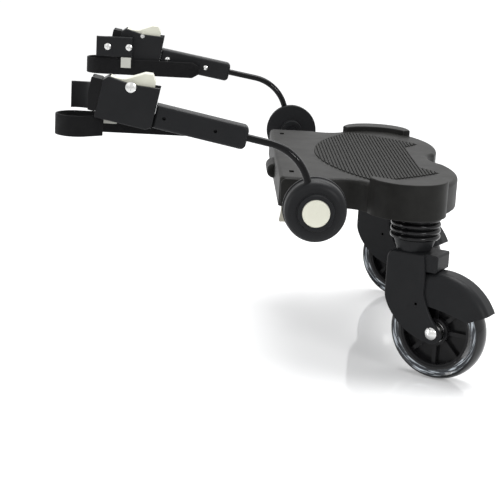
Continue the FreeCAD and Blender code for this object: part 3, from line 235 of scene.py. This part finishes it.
def metal(name, base, rough, marks, shank=None):
    """Steel; shank is a range of distance from the middle of the board where the steel gets painted shade."""
    material, tree, shader = new_material(name)
    place = coordinates(tree)
    turned = wave(tree, place, wave_type="RINGS", rings_direction="Y", Scale=marks, Distortion=MARK_WANDER,
                  Detail=MARK_DETAIL)
    spots = noise(tree, SPOT_SCALE)
    colour = tint(tree, spots, base, scaled(base, SPOT_SHARE))
    if shank:
        start, stop = shank
        reach = calculate(tree, "ABSOLUTE", axis_value(tree, place, "Y"))
        shaded_shank = calculate(tree, "COMPARE", reach, (start + stop) / 2, (stop - start) / 2)
        # Painted shade on the screw shanks
        colour = tint(tree, shaded_shank, colour, SHANK_SHADE_TONE)
    set_shader(
        tree, shader,
        Base_Color=colour,
        Metallic=1.0,
        Roughness=ramp(tree, spots, rough - SPOT_SWING, rough + SPOT_SWING),
        Normal=bump(tree, turned, MARK_STRENGTH, MARK_DEPTH),
    )
    return material


# Gloss paint on steel with a faint orange-peel surface
PAINT_TONE, DUST_SHARE = (0.003, 0.003, 0.0034), 1.5
PAINT_SMOOTH, PAINT_DUSTY = 0.07, 0.16
DUST_SCALE, PEEL_SCALE = 90.0, 400.0
PEEL_STRENGTH, PEEL_DEPTH = 0.2, 0.00001
PAINT_SHINE, PAINT_COAT, PAINT_COAT_ROUGH = 0.08, 0.14, 0.03


def painted(name):
    material, tree, shader = new_material(name)
    dust = noise(tree, DUST_SCALE)
    set_shader(
        tree, shader,
        Base_Color=tint(tree, dust, PAINT_TONE, scaled(PAINT_TONE, DUST_SHARE)),
        Roughness=ramp(tree, dust, PAINT_SMOOTH, PAINT_DUSTY),
        Normal=bump(tree, noise(tree, PEEL_SCALE), PEEL_STRENGTH, PEEL_DEPTH),
        Specular_IOR_Level=PAINT_SHINE,
        Coat_Weight=PAINT_COAT,
        Coat_Roughness=PAINT_COAT_ROUGH,
    )
    return material


# Dark cast urethane: glossy, with a paler see-through ring next to the rim and pale streaks in it that are painted
# highlights
RING_INNER, RING_OUTER, RING_FADE = 0.0385, 0.0455, 0.0012
RING_STREAKS, STREAK_DETAIL = 26, 3.0
STREAK_TURN = (3.2, 3.2, 3.2)
STREAK_LOW, STREAK_HIGH = 0.5, 0.64
URETHANE_TONE = (0.004, 0.0043, 0.005)
RING_TONE = (0.034, 0.038, 0.044)
HIGHLIGHT_STREAK_TONE = (0.6, 0.65, 0.7)
SMEAR_SCALE, SMEAR_DETAIL = 45.0, 5.0
URETHANE_SMOOTH, URETHANE_SMEARED = 0.06, 0.16
RIPPLE_SCALE, RIPPLE_STRENGTH, RIPPLE_DEPTH = 260.0, 0.2, 0.00005
URETHANE_SHINE, URETHANE_COAT, URETHANE_COAT_ROUGH = 0.22, 0.25, 0.04


def urethane(side_name):
    """The urethane of one wheel, ringed about that wheel's own axle."""
    material, tree, shader = new_material(f"tyre_urethane_{side_name}")
    low, high = (Vector(corner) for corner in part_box(f"tyre_{side_name}"))
    axle = Vector(JOINTS[f"wheel_{side_name}"]["axis"])
    spoke = vector_math(tree, "SUBTRACT", coordinates(tree), (low + high) / 2)
    flat = vector_math(tree, "CROSS_PRODUCT", spoke, axle)
    radius = vector_math(tree, "LENGTH", flat)
    outward = node(tree, "CombineXYZ")
    feed(tree, outward.inputs["X"], ramp(tree, radius, 0.0, RING_STREAKS, 0.0, RING_OUTER))
    around = vector_math(tree, "MULTIPLY", vector_math(tree, "NORMALIZE", flat), STREAK_TURN)
    highlight_noise = node(tree, "TexNoise", Scale=1.0, Detail=STREAK_DETAIL)
    feed(tree, highlight_noise.inputs["Vector"], vector_math(tree, "ADD", outward.outputs["Vector"], around))
    rise = ramp(tree, radius, 0.0, 1.0, RING_INNER, RING_INNER + RING_FADE)
    fall = ramp(tree, radius, 1.0, 0.0, RING_OUTER - RING_FADE, RING_OUTER)
    band = calculate(tree, "MULTIPLY", rise, fall)
    # Pale streaks in the ring: painted highlights
    highlight_streaks = ramp(tree, highlight_noise.outputs["Fac"], 0.0, 1.0, STREAK_LOW, STREAK_HIGH)
    shown_highlights = calculate(tree, "MULTIPLY", band, highlight_streaks)
    smears = noise(tree, SMEAR_SCALE, SMEAR_DETAIL)
    set_shader(
        tree, shader,
        Base_Color=tint(tree, shown_highlights, tint(tree, band, URETHANE_TONE, RING_TONE), HIGHLIGHT_STREAK_TONE),
        Roughness=ramp(tree, smears, URETHANE_SMOOTH, URETHANE_SMEARED),
        Normal=bump(tree, noise(tree, RIPPLE_SCALE), RIPPLE_STRENGTH, RIPPLE_DEPTH),
        Specular_IOR_Level=URETHANE_SHINE,
        Coat_Weight=URETHANE_COAT,
        Coat_Roughness=URETHANE_COAT_ROUGH,
    )
    return material


# Webbing: fine diagonal twill along the strap, from the piece's own length and width map
TWILL_TURNS = (38, -38)
TWILL_SCALE, TWILL_WANDER = 420.0, 0.4
TWILL_STRENGTH, TWILL_DEPTH = 0.6, 0.0003
THREAD_LOW, THREAD_HIGH = (0.003, 0.003, 0.0034), (0.009, 0.009, 0.0098)
FUZZ_SCALE, WEB_SMOOTH, WEB_ROUGH = 150.0, 0.55, 0.8
WEB_SHINE, WEB_SHEEN = 0.12, 0.03
WEAVE_MAP = "weave"


def webbing(name):
    material, tree, shader = new_material(name)
    threads = []
    for angle in TWILL_TURNS:
        turned = node(tree, "Mapping", Rotation=(0, 0, math.radians(angle)))
        feed(tree, turned.inputs["Vector"], node(tree, "UVMap", uv_map=WEAVE_MAP).outputs["UV"])
        threads.append(wave(tree, turned.outputs["Vector"], wave_type="BANDS", Scale=TWILL_SCALE,
                            Distortion=TWILL_WANDER))
    weave = calculate(tree, "MULTIPLY", *threads)
    set_shader(
        tree, shader,
        Base_Color=tint(tree, weave, THREAD_LOW, THREAD_HIGH),
        Roughness=ramp(tree, noise(tree, FUZZ_SCALE), WEB_SMOOTH, WEB_ROUGH),
        Normal=bump(tree, weave, TWILL_STRENGTH, TWILL_DEPTH),
        Specular_IOR_Level=WEB_SHINE,
        Sheen_Weight=WEB_SHEEN,
    )
    return material


# Moulded finishes: tone, tone of the paler edges, roughness, scale and depth of the grain, and the shares of
# edge wear and painted edge highlight, clear coat and shine where they aren't the usual ones
MOULDED = {
    # The deck's high edge share paints a highlight line along its edges, besides wear
    "deck_plastic": {
        "base": (0.0114, 0.0112, 0.0106), "pale": (0.06, 0.06, 0.057),
        "rough": 0.42, "grain": 900.0, "depth": 0.00012, "wear_and_highlight": 0.6, "shine": 0.08,
    },
    "acetal": {
        "base": (0.7, 0.7, 0.68), "pale": (0.85, 0.85, 0.83),
        "rough": 0.4, "grain": 700.0, "depth": 0.00004,
    },
    "black_plastic": {
        "base": (0.0124, 0.0128, 0.0138), "pale": (0.028, 0.028, 0.029),
        "rough": 0.4, "grain": 1100.0, "depth": 0.00006,
    },
    "cream_plastic": {
        "base": (0.71, 0.705, 0.595), "pale": (0.82, 0.81, 0.7),
        "rough": 0.34, "grain": 600.0, "depth": 0.00003, "wear_and_highlight": 0.4, "shine": 0.4,
    },
    # Cream plastic darkened with painted shade, for the width lock in the beam's shadow
    "shaded_cream_plastic": {
        "base": (0.36, 0.345, 0.29), "pale": (0.55, 0.53, 0.45),
        "rough": 0.4, "grain": 600.0, "depth": 0.00003, "wear_and_highlight": 0.4,
    },
    "clip_plastic": {
        "base": (0.5, 0.5, 0.455), "pale": (0.62, 0.62, 0.57),
        "rough": 0.4, "grain": 600.0, "depth": 0.00003, "wear_and_highlight": 0.4,
    },
    "hub_plastic": {
        "base": (0.0085, 0.0083, 0.009), "pale": (0.024, 0.024, 0.026),
        "rough": 0.24, "grain": 500.0, "depth": 0.00004, "wear_and_highlight": 0.15, "coat": 0.1,
    },
    "soft_rubber": {
        "base": (0.006, 0.006, 0.0065), "pale": (0.02, 0.02, 0.02),
        "rough": 0.5, "grain": 800.0, "depth": 0.0001,
    },
    "bellows_rubber": {
        "base": (0.004, 0.004, 0.0045), "pale": (0.014, 0.014, 0.015),
        "rough": 0.2, "grain": 420.0, "depth": 0.00004, "wear_and_highlight": 0.2, "coat": 0.25,
    },
}

# Clamp screws are bright at their heads and darkened with painted shade between these distances from the middle of
# the board
SHANK_SPAN = (0.2362, 0.2568)
METALS = {
    "bright_steel": {"base": (0.74, 0.74, 0.73), "rough": 0.2, "marks": 900.0},
    "spring_steel": {"base": (0.45, 0.45, 0.45), "rough": 0.32, "marks": 1200.0},
    "screw_steel": {"base": (0.74, 0.74, 0.73), "rough": 0.2, "marks": 900.0, "shank": SHANK_SPAN},
}

MATERIALS = {name: moulded(name, **values) for name, values in MOULDED.items()}
MATERIALS.update({name: metal(name, **values) for name, values in METALS.items()})
MATERIALS["tread_rubber"] = ribbed("tread_rubber")
MATERIALS["steel_black"] = painted("steel_black")
MATERIALS["webbing"] = webbing("webbing")

# Pieces with a finish of their own instead of their slot's; the width lock's is cream plastic darkened with
# painted shade
FINER = {"clamp_screws": "screw_steel", "width_lock": "shaded_cream_plastic", "strap_clip": "clip_plastic"}


def dress(item, material):
    """Gives an object one material, on its own slots."""
    if not item.material_slots:
        item.data.materials.append(material)
    for holder in item.material_slots:
        holder.material = material


def dress_solids():
    """Gives each solid its finish; each tyre has a material of its own."""
    for entry in frame["record"]["subparts"]:
        kind, _, side_name = entry["node"].rpartition("_")
        if kind == "tyre":
            material = urethane(side_name)
        else:
            material = MATERIALS[FINER.get(kind, entry["material_slot"])]
        dress(frame["nodes"][entry["node"]], material)


# Mesh helpers
def grid_mesh(name, rows, closed=False, uv=None):
    """A skin over rings of points; the rings close on themselves, or the two end rings are capped."""
    mesh = bpy.data.meshes.new(name)
    build = bmesh.new()
    points = [[build.verts.new(point) for point in row] for row in rows]
    layer = build.loops.layers.uv.new(WEAVE_MAP) if uv else None
    row_count, column_count = len(rows), len(rows[0])
    for i in range(row_count if closed else row_count - 1):
        for j in range(column_count):
            spots = [(i, j), (i, j + 1), (i + 1, j + 1), (i + 1, j)]
            face = build.faces.new([points[a % row_count][b % column_count] for a, b in spots])
            face.smooth = True
            if layer:
                for loop, (a, b) in zip(face.loops, spots):
                    loop[layer].uv = uv(a, b)
    if not closed:
        build.faces.new(points[0][::-1])
        build.faces.new(points[-1])
    bmesh.ops.recalc_face_normals(build, faces=build.faces)
    build.to_mesh(mesh)
    build.free()
    item = bpy.data.objects.new(name, mesh)
    bpy.context.collection.objects.link(item)
    return item


CORNER_SIGNS = ((1, 1), (-1, 1), (-1, -1), (1, -1))
CORNER_STEPS = 4


def rounded_section(thick, height, corner):
    """Points of a flat band's section, as (across, up), with rounded edges."""
    spots = []
    for k, (across, up) in enumerate(CORNER_SIGNS):
        for step in range(CORNER_STEPS + 1):
            angle = math.radians(QUARTER_TURN * (k + step / CORNER_STEPS))
            spots.append((across * (thick / 2 - corner) + corner * math.cos(angle),
                          up * (height / 2 - corner) + corner * math.sin(angle)))
    return spots


# Straps: one woven band each, a loop with a tail that runs back along the clamp
STRAP_THICK = 0.002
STRAP_HEIGHT = 0.019
STRAP_TAIL = 0.121
STRAP_END_TURN = 35
STRAP_ANCHOR = 0.018
STRAP_CORNER_SHARE = 0.35
TAIL_STEPS = 14
BEND_STEPS = 56
ANCHOR_STEPS = 4
TIP_LENGTH = 0.008
TIP_SHARE = 0.45


def strap_path(name, side):
    """Middle of the strap's loop, and the strap's line in plan as (point, outward normal)."""
    mount = MOUNTS[f"strap_{name}"]
    radius = mount["dims"]["r_mm"] * MM + STRAP_THICK / 2
    points = []
    for k in range(TAIL_STEPS):
        left = STRAP_TAIL * (1 - k / TAIL_STEPS)
        points.append((Vector((-left, -side * radius, 0)), Vector((0, -side, 0))))
    for k in range(BEND_STEPS + 1):
        angle = math.radians((HALF_TURN + STRAP_END_TURN) * k / BEND_STEPS - QUARTER_TURN)
        normal = Vector((math.cos(angle), side * math.sin(angle), 0))
        points.append((normal * radius, normal))
    turn = math.radians(STRAP_END_TURN)
    ahead = Vector((-math.cos(turn), -side * math.sin(turn), 0))
    last, normal = points[-1]
    for k in range(1, ANCHOR_STEPS + 1):
        points.append((last + ahead * STRAP_ANCHOR * k / ANCHOR_STEPS, normal))
    return Vector(mount["pos_m"]), points


def make_strap(name, side):
    middle, points = strap_path(name, side)
    section = rounded_section(STRAP_THICK, STRAP_HEIGHT, STRAP_THICK * STRAP_CORNER_SHARE)
    rows, lengths, run = [], [], 0.0
    for k, (point, normal) in enumerate(points):
        if k:
            run += (point - points[k - 1][0]).length
        lengths.append(run)
        room = min(1.0, run / TIP_LENGTH)
        tall = TIP_SHARE + (1 - TIP_SHARE) * math.sqrt(1 - (1 - room) ** 2)
        rows.append([middle + point + normal * across + Vector((0, 0, up * tall)) for across, up in section])
    item = grid_mesh(f"strap_band_{name}", rows, uv=lambda a, b: (lengths[a], sum(section[b % len(section)])))
    dress(item, MATERIALS["webbing"])
    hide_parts(f"strap_{name}")
    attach(item, f"arm_{name}")


# Bellows: rounded folds in one skin, with its inner face
SUSPENSION_TRAVEL = 0.010
BELLOWS_FOLDS = 4
BELLOWS_FOLD = 0.0046
BELLOWS_WALL = 0.0015
FOLD_POWER = 2.2
FOLD_STEPS = 12
ROUND_STEPS = 72


def make_bellows(name):
    low, high = (Vector(corner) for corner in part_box(f"bellows_{name}"))
    middle = (low + high) / 2
    crest = (high.x - low.x) / 2
    tall = high.z - low.z
    step_count = BELLOWS_FOLDS * FOLD_STEPS
    profile = []
    for k in range(step_count + 1):
        share = k / FOLD_STEPS % 1
        swell = math.sqrt(max(0.0, 1 - abs(2 * share - 1) ** FOLD_POWER))
        profile.append((crest - BELLOWS_FOLD * (1 - swell), low.z + tall * k / step_count))
    profile += [(radius - BELLOWS_WALL, height) for radius, height in reversed(profile)]
    rows = []
    for k in range(ROUND_STEPS):
        angle = 2 * math.pi * k / ROUND_STEPS
        out = Vector((math.cos(angle), math.sin(angle), 0))
        rows.append([Vector((middle.x + r * out.x, middle.y + r * out.y, z)) for r, z in profile])
    item = grid_mesh(f"bellows_skin_{name}", rows, closed=True)
    dress(item, MATERIALS["bellows_rubber"])
    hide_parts(f"bellows_{name}")
    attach(item, "deck")
    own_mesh(item)


# Coil springs, swept along a helix that starts and ends level
BUTTON_TRAVEL = 0.003
SUSPENSION_COIL = {"axis": "Z", "travel": SUSPENSION_TRAVEL, "wire": 0.0026, "turns": 4.5}
BUTTON_COIL = {"axis": "Y", "travel": BUTTON_TRAVEL, "wire": 0.0008, "turns": 4}
TURN_STEPS = 32
WIRE_SIDES = 12
EASE_SHARE = 0.5


def coil_rings(low, high, along, across, wire, turns):
    """Rings of points round the wire, from the low end of the box to its high end."""
    first, second = across
    middle = (low + high) / 2
    radius = (high[first] - low[first]) / 2 - wire / 2
    rise = high[along] - low[along] - wire
    step_count = int(turns * TURN_STEPS)
    rings = []
    for k in range(step_count + 1):
        share = k / step_count
        angle = 2 * math.pi * turns * share
        ease = EASE_SHARE * share * share * (3 - 2 * share) + (1 - EASE_SHARE) * share
        ring = []
        for m in range(WIRE_SIDES):
            twist = 2 * math.pi * m / WIRE_SIDES
            reach = radius + wire / 2 * math.cos(twist)
            point = Vector((0, 0, 0))
            point[first] = middle[first] + reach * math.cos(angle)
            point[second] = middle[second] + reach * math.sin(angle)
            point[along] = low[along] + wire / 2 + rise * ease + wire / 2 * math.sin(twist)
            ring.append(point)
        rings.append(ring)
    return rings


def make_coil(name, node_name, body, joint, held_high, axis, travel, wire, turns):
    low, high = (Vector(corner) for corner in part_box(node_name))
    along = "XYZ".index(axis)
    across = [k for k in range(3) if k != along]
    item = grid_mesh(name, coil_rings(low, high, along, across, wire, turns))
    dress(item, MATERIALS["spring_steel"])
    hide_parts(node_name)
    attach(item, body)
    anchor = (low + high) / 2
    anchor[along] = high[along] if held_high else low[along]
    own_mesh(item)


# Floor, light, background and camera
FLOOR_SIZE = 24
FLOOR_LOW, FLOOR_HIGH = (0.90, 0.90, 0.90), (0.94, 0.94, 0.94)
FLOOR_MOTTLE, FLOOR_PATCH = 1.4, 6.0
FLOOR_SMOOTH, FLOOR_ROUGH = 0.05, 0.1
FLOOR_SHINE, FLOOR_LIFT = 0.5, 0.22
WHITE = (1, 1, 1)
WHITE_STRENGTH = 1.0
FILL_TONE, FILL_STRENGTH = (0.97, 0.985, 1.0), 0.55
LAMPS = {
    "overhead": {"at": (-0.35, -0.35, 1.8), "aim": (-0.15, 0.0, 0.1), "size": (1.4, 1.1), "watts": 36},
    "front": {"at": (0.9, 1.9, 1.2), "aim": (-0.1, 0.0, 0.15), "size": (1.2, 1.0), "watts": 2},
    "side": {"at": (1.6, 0.5, 0.55), "aim": (-0.15, 0.05, 0.1), "size": (0.25, 0.9), "watts": 6},
    "window": {"at": (-1.1, 1.75, 0.95), "aim": (0.0, 0.1, 0.15), "size": (0.6, 0.09), "watts": 10},
}
PHOTO_PIXELS, FOCAL_PIXELS = 500, 1458
SENSOR_MM = 36
CAMERA_AT = (0.0686, 1.569, 0.466)
CAMERA_YAW, CAMERA_PITCH, CAMERA_ROLL = 1.91, 13.78, 3.19


def make_floor():
    """A pale floor that keeps its shadows, lifted towards white for the camera alone."""
    bpy.ops.mesh.primitive_plane_add(size=FLOOR_SIZE)
    floor = bpy.context.object
    floor.name = "floor"
    material, tree, shader = new_material("floor_paper")
    seen = node(tree, "LightPath").outputs["Is Camera Ray"]
    set_shader(
        tree, shader,
        Base_Color=tint(tree, noise(tree, FLOOR_MOTTLE), FLOOR_LOW, FLOOR_HIGH),
        Roughness=ramp(tree, noise(tree, FLOOR_PATCH), FLOOR_SMOOTH, FLOOR_ROUGH),
        Specular_IOR_Level=FLOOR_SHINE,
        Emission_Color=WHITE,
        Emission_Strength=ramp(tree, seen, 0.0, FLOOR_LIFT),
    )
    dress(floor, material)


def make_lamp(name, at, aim, size, watts):
    lamp = bpy.data.lights.new(name, "AREA")
    lamp.shape = "RECTANGLE"
    lamp.size, lamp.size_y = size
    lamp.energy = watts
    item = bpy.data.objects.new(name, lamp)
    item.location = at
    item.rotation_euler = (Vector(aim) - Vector(at)).to_track_quat("-Z", "Y").to_euler()
    bpy.context.collection.objects.link(item)


def backdrop(tree, tone, strength):
    item = node(tree, "Background", Strength=strength)
    feed(tree, item.inputs["Color"], tone)
    return item.outputs["Background"]


def make_world():
    """A soft fill for the object, and plain white for the camera, mirrors and glass."""
    world = bpy.context.scene.world or bpy.data.worlds.new("studio")
    bpy.context.scene.world = world
    world.use_nodes = True
    tree = world.node_tree
    tree.nodes.clear()
    rays = node(tree, "LightPath").outputs
    mirrored = calculate(tree, "MAXIMUM", rays["Is Camera Ray"], rays["Is Glossy Ray"])
    mix = node(tree, "MixShader")
    feed(tree, mix.inputs["Fac"], calculate(tree, "MAXIMUM", mirrored, rays["Is Transmission Ray"]))
    feed(tree, mix.inputs[1], backdrop(tree, FILL_TONE, FILL_STRENGTH))
    feed(tree, mix.inputs[2], backdrop(tree, WHITE, WHITE_STRENGTH))
    feed(tree, node(tree, "OutputWorld").inputs["Surface"], mix.outputs["Shader"])


def make_camera():
    yaw, pitch, roll = (math.radians(turn) for turn in (CAMERA_YAW, CAMERA_PITCH, CAMERA_ROLL))
    ahead = Vector((-math.sin(yaw) * math.cos(pitch), -math.cos(yaw) * math.cos(pitch), -math.sin(pitch)))
    right = ahead.cross(Vector((0, 0, 1))).normalized()
    up = right.cross(ahead)
    level = math.cos(roll) * right + math.sin(roll) * up
    above = -math.sin(roll) * right + math.cos(roll) * up
    lens = bpy.data.cameras.new("camera")
    lens.sensor_width = SENSOR_MM
    lens.lens = FOCAL_PIXELS / PHOTO_PIXELS * SENSOR_MM
    item = bpy.data.objects.new("camera", lens)
    turn = Matrix((level, above, -ahead)).transposed()
    item.matrix_world = Matrix.Translation(CAMERA_AT) @ turn.to_4x4()
    bpy.context.collection.objects.link(item)
    bpy.context.scene.camera = item


dress_solids()
for name, side in SIDES.items():
    make_strap(name, side)
    make_bellows(name)
    make_coil(f"suspension_coil_{name}", f"spring_{name}", "deck", f"suspension_{name}", True,
              **SUSPENSION_COIL)
    make_coil(f"button_coil_{name}", f"button_spring_{name}", f"arm_slide_{name}", f"button_{name}", side < 0,
              **BUTTON_COIL)
make_floor()
make_world()
for name, values in LAMPS.items():
    make_lamp(name, **values)
make_camera()
bpy.context.scene.view_settings.view_transform = "Standard"
